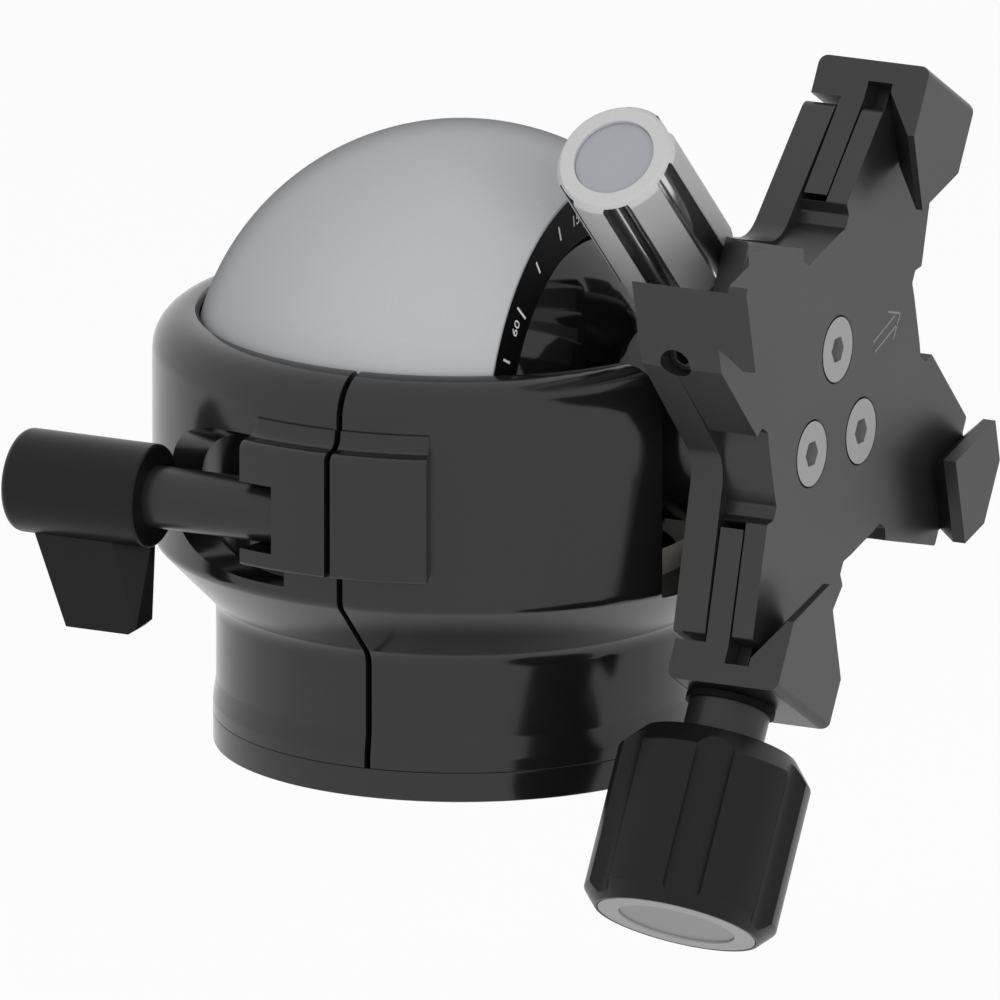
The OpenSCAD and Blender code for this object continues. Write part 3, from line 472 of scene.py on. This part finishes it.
def makeBall(cfg):
    mouthA = math.degrees(math.asin(cfg["mouth"] / cfg["r"]))
    outer = [Vector((0, -cfg["r"]))] + arcPath((0, 0), cfg["r"], -90, mouthA - 0.25, 96)[1:]
    lip = cfg["lip"]
    edge = [(lip + cfg["lipRound"], cfg["mouth"]), (lip, cfg["mouth"]), (lip, cfg["scaleX"]),
            (cfg["bore"], cfg["scaleX"]), (cfg["bore"], cfg["boreX"])]
    innerA = math.degrees(math.asin(cfg["boreX"] / cfg["innerR"]))
    inner = arcPath((0, 0), cfg["innerR"], innerA, -90, 48)[:-1] + [Vector((0, -cfg["innerR"]))]
    bm = alongNeck(lathe(outer + [Vector(p) for p in edge] + inner, 160))
    settle(bm, "outer_ball_piece", "outer_ball", 30)


domeSet = {"r": 27.6, "neck": 11.0, "neckEnd": 29.6, "fillet": 0.8}


def makeDome(cfg):
    meet = math.sqrt(cfg["r"] ** 2 - cfg["neck"] ** 2)
    top = math.degrees(math.atan2(meet - 0.5, math.sqrt(cfg["r"] ** 2 - (meet - 0.5) ** 2)))
    ball = [Vector((0, -cfg["r"]))] + arcPath((0, 0), cfg["r"], -90, top, 80)[1:]
    neck, end = cfg["neck"], cfg["neckEnd"]
    root = [(neck + 0.35, meet + 0.05), (neck + 0.1, meet + 0.35), (neck, meet + cfg["fillet"]),
            (neck, end), (0, end)]
    bm = alongNeck(lathe(ball + [Vector(p) for p in root], 128))
    settle(bm, "inner_ball_piece", "inner_ball", 30)


makeHousing(housingSet)
makeBall(ballSet)
makeDome(domeSet)
print("housing and balls done")

clampSet = {
    "turn": 31.4, "centreU": 5.9, "backX": 40.3, "backEnd": 44.4, "thinX": 48.4, "faceX": 51.3, "topX": 56.1,
    "shift": 1.0, "tip": 34.9, "tipW": 8.5, "tipRound": 1.7, "plainRound": 0.5,
    "rootW": 12.3, "notchW": 10.9, "cornerL": 17.0, "cornerW": 12.4, "mid": 21.0, "side": 14.52, "sideR": 5.3,
    "spigotX": 29.8, "spigotR": 8.4, "leadX": 46.8, "leadWay": 1.7, "tongueHalf": 3.1, "tongueMidW": 4.1,
    "fixedTip": 42.0, "fixedCorner": 33.9, "fixedW": 8.5, "flatEnd": 38.2,
    "lip": 17.35, "foot": 21.3, "landX": 55.2, "fixedLip": 18.5, "fixedLandX": 54.4,
    "screwPcd": 7.9, "screwU": 3.4, "headR": 4.38, "headH": 2.4, "shankR": 1.95,
    "setX": 45.0, "setR": 2.05, "setV": -33.4, "setU": -7.6,
}


# turns clamp coordinates into place: X along the neck, v along the fixed arms, u along the sliding arms
def seatClamp(bm):
    rotate(bm, -clampSet["turn"], "X")
    move(bm, 0, 0, ballZ)
    return bm


# a prism from a closed outline of corners in mm, pushed along one step
def prism(corners, step):
    bm = bmesh.new()
    face = bm.faces.new([bm.verts.new([n * mm for n in corner]) for corner in corners])
    out = bmesh.ops.extrude_face_region(bm, geom=[face])
    far = [v for v in out["geom"] if isinstance(v, bmesh.types.BMVert)]
    bmesh.ops.translate(bm, vec=[n * mm for n in step], verts=far)
    bmesh.ops.recalc_face_normals(bm, faces=bm.faces)
    return bm


# a flat slab between two places along X, its outline given as (v, u) from the plate's centre
def slab(path, low, high, up=clampSet["centreU"]):
    return prism([(low, p[0], p[1] + up) for p in path], (high - low, 0, 0))


# a prism along u, turned about X, its outline given across as (X, v)
def channel(path, reach, turn, up=clampSet["centreU"]):
    bm = prism([(p[0], p[1], -reach) for p in path], (0, 0, 2 * reach))
    rotate(bm, turn, "X")
    move(bm, 0, 0, up)
    return bm


# a cone or bar along the clamp's X
def spike(low, high, lowR, highR, v, u, sides=64):
    bm = bmesh.new()
    bmesh.ops.create_cone(bm, cap_ends=True, segments=sides, radius1=lowR * mm, radius2=highR * mm,
                          depth=(high - low) * mm)
    rotate(bm, 90, "Y")
    move(bm, (low + high) / 2, v, u)
    return bm


# a cross outline, one quarter of it turned four times, with the upper arm's end rounder than the others
def crossPath(quarter, shift, tipRound):
    armEnd = 30
    out = []
    for k in range(4):
        for p in quarter:
            v, u = p[:2]
            for _ in range(k):
                v, u = u, -v
            out.append((v + shift, u, tipRound if u > armEnd else p[2]))
    return roundedPath(out, 6)


# the two crossing dovetail channels over the plate
def dovetails(cfg, lip, land, up):
    path = [(cfg["faceX"], -cfg["foot"]), (land, -lip), (cfg["topX"] + 1, -lip),
            (cfg["topX"] + 1, lip), (land, lip), (cfg["faceX"], cfg["foot"])]
    return [(channel(path, 70, turn, up), "DIFFERENCE") for turn in (45, -45)]


def cleaned(bm, width, segments=2, sharp=28):
    bmesh.ops.dissolve_limit(bm, angle_limit=math.radians(0.5), verts=bm.verts, edges=bm.edges)
    bevelSharp(bm, width, segments, sharp)
    bmesh.ops.recalc_face_normals(bm, faces=bm.faces)
    return bm


def makeClamp(cfg):
    tipW, tip, mid, up = cfg["tipW"], cfg["tip"], cfg["mid"], cfg["centreU"]
    n, c, cw, plain = cfg["notchW"], cfg["cornerL"], cfg["cornerW"], cfg["plainRound"]
    armTip = [(-tipW, tip, plain), (tipW, tip, plain)]
    backLayer = crossPath(armTip + [(cfg["side"], cfg["side"], cfg["sideR"])], cfg["shift"], cfg["tipRound"])
    upper = crossPath(armTip + [
        (cfg["rootW"], mid, 0.3), (n, mid - 1.0, 0.4), (n, c + 1.3, 0.6), (cw, c, 0.3), (c, cw, 0.3),
        (c + 1.3, n, 0.6), (mid - 1.0, n, 0.4), (mid, cfg["rootW"], 0.3)], cfg["shift"], cfg["tipRound"])
    w, corner, leftEnd, rightEnd = cfg["fixedW"], cfg["fixedCorner"], cfg["fixedTip"], cfg["flatEnd"]
    left = [(w - corner, 0), (-corner, w), (-leftEnd, corner + w - leftEnd),
            (-leftEnd, leftEnd - w - corner), (-corner, -w)]
    cut = rightEnd - corner
    right = [(corner - w, 0), (corner, -w), (rightEnd, cut - w), (rightEnd, w - cut), (corner, w)]
    thinning = [block((40, -30, up + s * 33 - 12), (cfg["thinX"], 30, up + s * 33 + 12)) for s in (-1, 1)]
    thick = combine(slab(upper, cfg["backEnd"], cfg["faceX"]), [(b, "DIFFERENCE") for b in thinning])
    undercuts = [dovetails(cfg, cfg["fixedLip"], cfg["fixedLandX"], up) for _ in range(2)]
    blocks = [combine(slab(path, cfg["backX"], cfg["topX"]), under)
              for path, under in zip((left, right), undercuts)]
    spigot = spike(cfg["spigotX"], cfg["backX"] + 0.2, cfg["spigotR"], cfg["spigotR"], 0, 0, 96)
    x, v, u = cfg["setX"], cfg["setV"], cfg["setU"] + up
    cuts = [channel([(38.9, -17.6), (53.5, -38.0), (53.5, -60), (38.9, -60)], 15, 0, up + 14.5),
            bar((x, v - 4, u - 4), (x, v + 4, u + 4), cfg["setR"]),
            bar((cfg["leadX"], 0, -60), (cfg["leadX"], 0, 60), cfg["leadWay"])]
    for s in (-1, 1):
        cuts.append(block((cfg["leadX"] - cfg["tongueHalf"], -cfg["tongueMidW"], up + s * 30.5 - 10),
                          (cfg["leadX"] + cfg["tongueHalf"], cfg["tongueMidW"], up + s * 30.5 + 10)))
    for i in range(3):
        a = math.radians(120 * i)
        v, u = cfg["screwPcd"] * math.cos(a), cfg["screwU"] + cfg["screwPcd"] * math.sin(a)
        cuts.append(spike(cfg["faceX"] - cfg["headH"], cfg["faceX"] + 0.01,
                          cfg["shankR"], cfg["headR"], v, u))
    joined = [(part, "UNION") for part in [thick] + blocks + [spigot]]
    bm = combine(slab(backLayer, cfg["backX"], cfg["backEnd"] + 0.3),
                 joined + [(part, "DIFFERENCE") for part in cuts])
    settle(seatClamp(cleaned(bm, 0.28)), "clamp_body_piece", "clamp_back", also=["clamp_cover"])


jawSet = {
    "w": 7.3, "lowerW": 9.4, "end": 40.9, "foot": 35.8, "pocket": 38.2, "round": 1.2,
    "backX": 40.8, "liftX": 51.5, "headIn": 25, "headTip": 18,
    "tongueLow": 45.0, "tongueHigh": 48.15, "tongueIn": 21.95, "tongueInW": 11.0, "tongueEndW": 7.28,
    "midT": 2.9, "midW": 3.9, "midIn": 23.6,
}


# a sliding jaw, made as the upper one and mirrored for the lower one
def makeJaw(cfg, body, nodeName, lower, bore):
    w, end, up = cfg["w"], cfg["end"], body["centreU"]
    far = cfg["lowerW"] if lower else w
    edge = [(far, end), (-w, end)]
    foot = slab([(-w, cfg["foot"]), (far, cfg["foot"])] + edge, cfg["backX"], cfg["tongueHigh"], 0)
    wall = slab([(-w, cfg["pocket"]), (far, cfg["pocket"])] + edge, cfg["tongueLow"], body["topX"], 0)
    head = slab([(-w, cfg["headIn"]), (0, cfg["headTip"]), (far, cfg["headTip"] + far)] + edge,
                cfg["liftX"], body["topX"], 0)
    inW, outW, out = cfg["tongueInW"], cfg["tongueEndW"], cfg["foot"] + 0.3
    tongue = slab([(-inW, cfg["tongueIn"]), (inW, cfg["tongueIn"]), (outW, out), (-outW, out)],
                  cfg["tongueLow"], cfg["tongueHigh"], 0)
    middle = block((body["leadX"] - cfg["midT"], -cfg["midW"], cfg["midIn"]),
                   (body["leadX"] + cfg["midT"], cfg["midW"], end - 1.5))
    head = combine(head, dovetails(body, body["lip"], body["landX"], 0))
    hole = bar((body["leadX"], 0, 10), (body["leadX"], 0, 60 if lower else cfg["pocket"] + 1), bore)
    bm = combine(foot, [(wall, "UNION"), (head, "UNION"), (tongue, "UNION"), (middle, "UNION")])
    bmesh.ops.dissolve_limit(bm, angle_limit=math.radians(0.5), verts=bm.verts, edges=bm.edges)
    rim = [e for e in bm.edges if len(e.link_faces) == 2 and e.calc_face_angle(0) > 1
           and all(abs(v.co.z - end * mm) < 1e-5 for v in e.verts)]
    bevel(bm, [e for e in rim if abs(e.verts[0].co.x - e.verts[1].co.x) < 1e-6
               or all(v.co.y > -(w - 0.1) * mm for v in e.verts)], cfg["round"], 6)
    bm = combine(bm, [(hole, "DIFFERENCE")])
    if lower:
        bmesh.ops.scale(bm, vec=(1, 1, -1), verts=bm.verts)
    move(bm, 0, 0, up)
    settle(seatClamp(cleaned(bm, 0.3)), nodeName + "_piece", nodeName)


def makeSetScrew(cfg):
    up = cfg["centreU"]
    end = Vector((cfg["setX"], cfg["setV"] + 0.9, cfg["setU"] + 0.9 + up))
    inner = end + Vector((0, 2.3, 2.3))
    socket = bar(end + Vector((0, -1, -1)), end + Vector((0, 1, 1)), 1.1, 6)
    bm = combine(bar(end, inner, cfg["setR"] - 0.08), [(socket, "DIFFERENCE")])
    settle(seatClamp(cleaned(bm, 0.15)), "arm_set_screw_piece", "arm_set_screw")


# bars for a knob's flutes, evenly spaced round its axis
def flutes(cfg, low, high, sides, count=6):
    off = cfg["r"] + cfg["grooveR"] - cfg["grooveDepth"]
    cuts = []
    for i in range(count):
        a = math.radians(cfg["turn"] + 360 / count * i)
        x, y = off * math.cos(a), off * math.sin(a)
        cuts.append((bar((x, y, low), (x, y, high), cfg["grooveR"], sides), "DIFFERENCE"))
    return cuts


blackKnobSet = {
    "start": 41.0, "end": 64.3, "r": 12.25, "ringR": 10.1, "chamfer": 2.0, "shoulder": 3.0,
    "grooveR": 3.1, "grooveDepth": 1.4, "turn": 54, "rootR": 2.0,
}


# the black knob, with six shallow flutes that run out in its shoulder and end chamfer
def makeBlackKnob(cfg, body):
    r, h = cfg["r"], cfg["end"] - cfg["start"]
    bm = lathe(roundedPath([
        (0, 1.0), (cfg["ringR"], 1.0), (cfg["ringR"], 0, 0.15), (r - cfg["chamfer"] + 0.2, 0, 0.15),
        (r, cfg["chamfer"], 0.5), (r, h - cfg["shoulder"], 0.5), (r - cfg["shoulder"] + 0.4, h, 0.4),
        (0, h)], 4), 144)
    root = bar((0, 0, h - 4), (0, 0, h + 4), cfg["rootR"], 48)
    bm = combine(bm, flutes(cfg, 0.7, h + 2, 96) + [(root, "DIFFERENCE")])
    move(bm, body["leadX"], 0, -cfg["end"])
    settle(seatClamp(cleaned(bm, 0.12, 2, 20)), "knob_piece", "knob", 25)


silverKnobSet = {
    "x": 31.9, "off": 12.8, "lean": 45.8, "start": 17.7, "length": 24.5, "r": 7.75, "discR": 5.2,
    "grooveR": 2.3, "grooveDepth": 1.15, "turn": 50.5, "screwR": 2.5,
}


# the silver knob, its flutes polished and its end face cut back round the disc
def makeSilverKnob(cfg):
    r, h = cfg["r"], cfg["length"]
    bm = lathe(roundedPath([(0, 0), (r - 1.0, 0, 0.2), (r, 1.0, 0.4), (r, h - 0.9, 0.6), (r - 0.75, h, 0.3),
                            (cfg["discR"], h, 0.08), (cfg["discR"], h - 1), (0, h - 1)], 4), 128)
    screw = bar((0, 0, -2), (0, 0, h / 2), cfg["screwR"], 48)
    bm = cleaned(combine(bm, flutes(cfg, -2, h - 0.45, 80) + [(screw, "DIFFERENCE")]), 0.12, 2, 20)
    for f in bm.faces:
        c = f.calc_center_median()
        inFlute = (cfg["screwR"] + 0.5) * mm < c.xy.length < (r - 0.1) * mm
        f.material_index = int(inFlute and 1.2 * mm < c.z < (h - 0.9) * mm and abs(f.normal.z) < 0.3)
    move(bm, 0, cfg["off"], cfg["start"])
    rotate(bm, cfg["lean"], "X")
    move(bm, cfg["x"], 0, ballZ)
    piece = settle(bm, "lock_knob_piece", "lock_knob", 25)
    piece.data.materials.append(grooveSilver)


leverSet = {
    "y": -37.6, "z": 37.2, "inX": -23.4, "outX": -42.1, "r": 6.5, "screwR": 2.5,
    "finHalf": 2.5, "finTop": 34, "finLow": 19.7,
}


# the lever's round handle, with a flat fin that leans inwards below it
def makeLever(cfg):
    r, h = cfg["r"], cfg["inX"] - cfg["outX"]
    bm = lathe(roundedPath([(0, 0), (r, 0, 1.2), (r, h, 0.5), (0, h)], 6), 96)
    rotate(bm, 90, "Y")
    move(bm, cfg["outX"], cfg["y"], cfg["z"])
    front, back, top, low = cfg["y"] - cfg["finHalf"], cfg["y"] + cfg["finHalf"], cfg["finTop"], cfg["finLow"]
    fin = bmesh.new()
    for x, y, z in [(-40.1, front, top), (-34.7, front, low), (-26.0, front, low), (-24.9, front, low + 0.7),
                    (-29.2, front, top), (-40.1, back, top), (-34.7, back, low), (-26.2, back, low),
                    (-25.2, back, low + 0.9), (-24.6, back, top)]:
        fin.verts.new((x * mm, y * mm, z * mm))
    bmesh.ops.convex_hull(fin, input=fin.verts)
    bmesh.ops.recalc_face_normals(fin, faces=fin.faces)
    hole = bar((cfg["inX"] - r, cfg["y"], cfg["z"]), (cfg["inX"] + 1, cfg["y"], cfg["z"]), cfg["screwR"])
    bm = combine(bm, [(fin, "UNION"), (hole, "DIFFERENCE")])
    settle(cleaned(bm, 0.45, 3, 30), "lever_handle_piece", "lever_handle", 32)


makeLever(leverSet)
makeSilverKnob(silverKnobSet)
makeBlackKnob(blackKnobSet, clampSet)
makeClamp(clampSet)
makeJaw(jawSet, clampSet, "jaw_upper", False, 1.46)
makeJaw(jawSet, clampSet, "jaw_lower", True, 2.06)
makeSetScrew(clampSet)
print("clamp and jaws done")

markSet = {"height": 0.03, "tickIn": 23.5, "tickOut": 26.4, "tickW": 0.32, "first": 94, "step": 15,
           "numberR": 25.1, "numberH": 1.5, "numberTurn": 5}
whiteInk = finish("whiteInk", (0.75, 0.75, 0.75), drift=0.03, rough=0.5, spec=0.3)
greyInk = finish("greyInk", (0.17, 0.17, 0.17), drift=0.03, rough=0.5, spec=0.3)


def asMark(bm, name, body, ink):
    for f in bm.faces:
        f.smooth = False
    piece = asObject(bm, name)
    piece.data.materials.append(ink)
    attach(piece, body)


# plain numbers, flat in the plane x = 0 with their tops along +Z
def numberMesh(word, height):
    curve = bpy.data.curves.new("number", "FONT")
    curve.body = word
    curve.size = height * mm * 1.4
    curve.align_x = "CENTER"
    curve.align_y = "CENTER"
    curve.extrude = markSet["height"] * mm / 2
    obj = bpy.data.objects.new("number", curve)
    bpy.context.scene.collection.objects.link(obj)
    bpy.context.view_layer.update()
    me = bpy.data.meshes.new_from_object(obj.evaluated_get(bpy.context.evaluated_depsgraph_get()))
    bm = bmesh.new()
    bm.from_mesh(me)
    bpy.data.objects.remove(obj)
    bpy.data.curves.remove(curve)
    bpy.data.meshes.remove(me)
    turn = Matrix(((0, 0, 1), (1, 0, 0), (0, 1, 0)))
    bmesh.ops.rotate(bm, verts=bm.verts, cent=(0, 0, 0), matrix=turn)
    return bm


def joinInto(bm, part):
    me = bpy.data.meshes.new("part")
    part.to_mesh(me)
    part.free()
    bm.from_mesh(me)
    bpy.data.meshes.remove(me)


def makeScaleMarks(cfg, ball):
    bm = bmesh.new()
    for k in range(24):
        short = 1.0 if k % 3 else 0.0
        tick = block((ball["mouth"] - 0.01, cfg["tickIn"] + short, -cfg["tickW"] / 2),
                     (ball["mouth"] + cfg["height"], cfg["tickOut"], cfg["tickW"] / 2))
        rotate(tick, cfg["first"] + cfg["step"] * k, "X")
        joinInto(bm, tick)
    for k in range(0, 24, 3):
        number = numberMesh(str(cfg["step"] * (k + 1)), cfg["numberH"])
        rotate(number, -90, "X")
        move(number, ball["mouth"] + cfg["height"] / 2, cfg["numberR"], 0)
        rotate(number, cfg["first"] + cfg["step"] * k + cfg["numberTurn"], "X")
        joinInto(bm, number)
    move(bm, 0, 0, ballZ)
    asMark(bm, "scale_marks", "ball", whiteInk)


# an open arrow of two strokes and two barbs on the plate's face, along the fixed and sliding arms
def makeArrow(cfg, body):
    bm = bmesh.new()
    half = 0.13  # of a stroke's width
    low, high = body["faceX"] - 0.01, body["faceX"] + cfg["height"]
    strokes = [((5.2, 14.2), (9.3, 19.1)), ((6.3, 13.3), (10.5, 18.3)),
               ((10.4, 16.3), (10.6, 19.8)), ((7.2, 18.9), (10.6, 19.8))]
    for a, b in strokes:
        along = Vector(b) - Vector(a)
        side = Vector((along.y, -along.x)).normalized() * half
        a, b = Vector(a), Vector(b)
        joinInto(bm, slab([a - side, a + side, b + side, b - side], low, high, 0))
    asMark(seatClamp(bm), "plate_arrow", "clamp", greyInk)


makeScaleMarks(markSet, ballSet)
makeArrow(markSet, clampSet)

machined = {
    "base_plate": 0.3, "lock_collar": 0.3,
    "cover_screws": 0.12, "knob_ring": 0.1, "lock_screw": 0.3,
}
for nodeName, width in machined.items():
    brokenEdges(nodeName, width)
print("machined pieces done")

# floor and light
stageSet = {"floorZ": -0.06, "size": 6.0, "glow": 0.88, "sky": 0.55}


def throughView(tree, at):
    path = addNode(tree, "ShaderNodeLightPath", at)
    a = addNode(tree, "ShaderNodeMath", (at[0] + 200, at[1]), operation="MAXIMUM")
    b = addNode(tree, "ShaderNodeMath", (at[0] + 400, at[1]), operation="MAXIMUM")
    linkIn(tree, path.outputs["Is Camera Ray"], a.inputs[0])
    linkIn(tree, path.outputs["Is Glossy Ray"], a.inputs[1])
    linkIn(tree, a.outputs[0], b.inputs[0])
    linkIn(tree, path.outputs["Is Transmission Ray"], b.inputs[1])
    return b.outputs[0]


def makeFloor(cfg):
    bm = bmesh.new()
    bmesh.ops.create_grid(bm, x_segments=1, y_segments=1, size=cfg["size"] / 2)
    bmesh.ops.translate(bm, vec=(0, 0, cfg["floorZ"]), verts=bm.verts)
    obj = asObject(bm, "floor")
    m = bpy.data.materials.new("paleFloor")
    m.use_nodes = True
    t = m.node_tree
    out = t.nodes["Material Output"]
    base = t.nodes["Principled BSDF"]
    base.inputs["Base Color"].default_value = (0.9, 0.9, 0.9, 1)
    base.inputs["Roughness"].default_value = 0.9
    glow = addNode(t, "ShaderNodeEmission", (0, -300))
    glow.inputs["Strength"].default_value = 1.0
    mix = addNode(t, "ShaderNodeMixShader", (300, 0))
    share = addNode(t, "ShaderNodeMath", (100, 200), operation="MULTIPLY")
    share.inputs[1].default_value = cfg["glow"]
    linkIn(t, throughView(t, (-700, 200)), share.inputs[0])
    linkIn(t, share.outputs[0], mix.inputs["Fac"])
    linkIn(t, base.outputs[0], mix.inputs[1])
    linkIn(t, glow.outputs[0], mix.inputs[2])
    linkIn(t, mix.outputs[0], out.inputs["Surface"])
    obj.data.materials.append(m)


def makeWorld(cfg):
    w = bpy.data.worlds.new("studio")
    bpy.context.scene.world = w
    w.use_nodes = True
    t = w.node_tree
    out = t.nodes["World Output"]
    soft = t.nodes["Background"]
    soft.inputs["Color"].default_value = (1, 1, 1, 1)
    soft.inputs["Strength"].default_value = cfg["sky"]
    white = addNode(t, "ShaderNodeBackground", (0, -200))
    white.inputs["Color"].default_value = (1, 1, 1, 1)
    white.inputs["Strength"].default_value = 1.0
    mix = addNode(t, "ShaderNodeMixShader", (300, 0))
    linkIn(t, throughView(t, (-500, 200)), mix.inputs["Fac"])
    linkIn(t, soft.outputs[0], mix.inputs[1])
    linkIn(t, white.outputs[0], mix.inputs[2])
    linkIn(t, mix.outputs[0], out.inputs["Surface"])


lampSize = 0.8
lamps = [
    # name, place, power
    ("keyLamp", (-0.3, -1.0, 0.8), 4.0),
    ("rightLamp", (0.8, -0.8, 0.2), 9.0),
    ("topLamp", (0.1, 0.0, 1.1), 3.0),
]


def makeLamps():
    for name, place, power in lamps:
        data = bpy.data.lights.new(name, "AREA")
        data.shape = "RECTANGLE"
        data.size = data.size_y = lampSize
        data.energy = power
        lamp = bpy.data.objects.new(name, data)
        bpy.context.scene.collection.objects.link(lamp)
        lamp.location = place
        lamp.visible_glossy = False
        aim = Vector((0.01, 0, 0.04)) - Vector(place)
        lamp.rotation_euler = aim.to_track_quat("-Z", "Y").to_euler()


makeFloor(stageSet)
makeWorld(stageSet)
makeLamps()
print("stage and light set")
